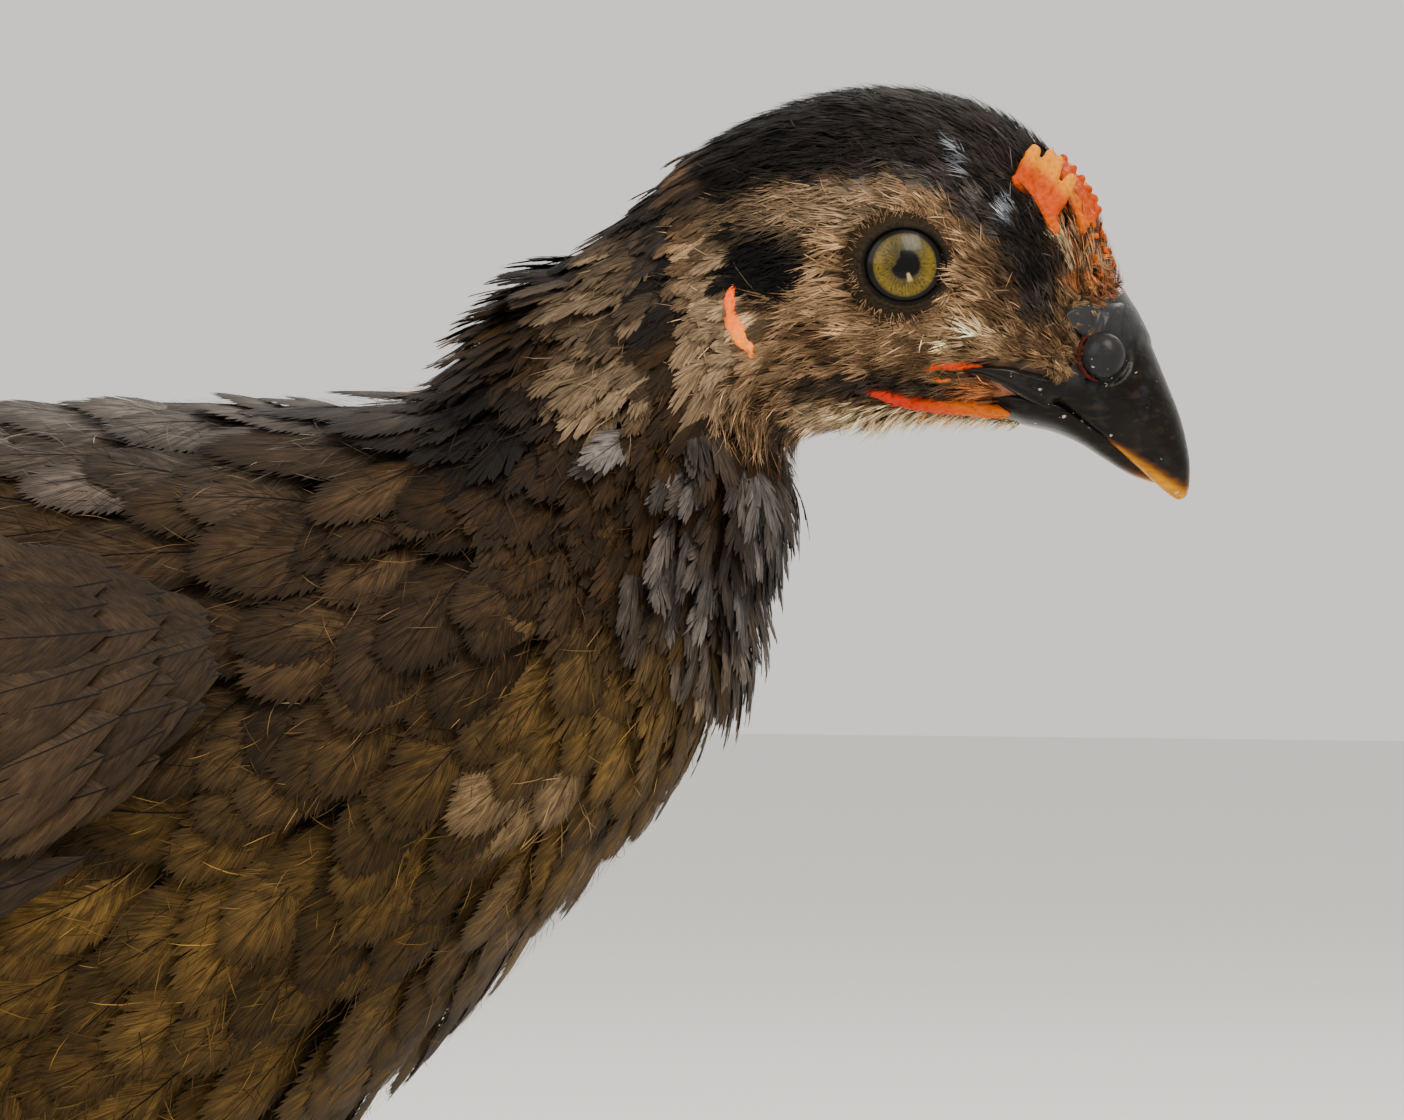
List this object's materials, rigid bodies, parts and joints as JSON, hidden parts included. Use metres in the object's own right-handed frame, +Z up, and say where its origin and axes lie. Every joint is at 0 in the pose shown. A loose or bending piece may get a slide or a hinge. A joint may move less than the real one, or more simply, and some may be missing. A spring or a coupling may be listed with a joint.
{
  "type": "olive egger chicken",
  "caption": "Life-size young olive egger hen standing on both feet with her neck stretched forward and down, a still animal figure.",
  "frame": {"origin": "on the floor, under the middle of the bird's overall box", "axes": "+X the way the bill points, +Y the bird's left side, +Z up from the floor that the soles stand on"},
  "size_m": [0.305, 0.1066, 0.2283],
  "materials": {
    "plumage": "soft olive-brown feathers with dark edges",
    "head_plumage": "short black-brown and beige feathers",
    "bare_skin": "bare orange skin, satin",
    "horn": "slate horn, semi-gloss, amber at the tip",
    "eye": "wet, yellow-olive iris",
    "shank_scales": "slate-olive scales, satin",
    "claw_horn": "dark horn, satin"
  },
  "bodies": {
    "root": {"torso": "plumage", "neck": "plumage", "head": "head_plumage", "bill_upper": "horn", "bill_lower": "horn", "comb": "bare_skin", "tail": "plumage", "eye_right": "eye", "eye_left": "eye", "ear_lobe_right": "bare_skin", "ear_lobe_left": "bare_skin", "wattle_right": "bare_skin", "wattle_left": "bare_skin", "wing_right": "plumage", "wing_left": "plumage", "thigh_right": "plumage", "thigh_left": "plumage", "shank_right": "shank_scales", "shank_left": "shank_scales", "foot_right": "shank_scales", "foot_left": "shank_scales", "claw_middle_right": "claw_horn", "claw_inner_right": "claw_horn", "claw_outer_right": "claw_horn", "claw_hind_right": "claw_horn", "claw_middle_left": "claw_horn", "claw_inner_left": "claw_horn", "claw_outer_left": "claw_horn", "claw_hind_left": "claw_horn"}
  },
  "joints": []
}
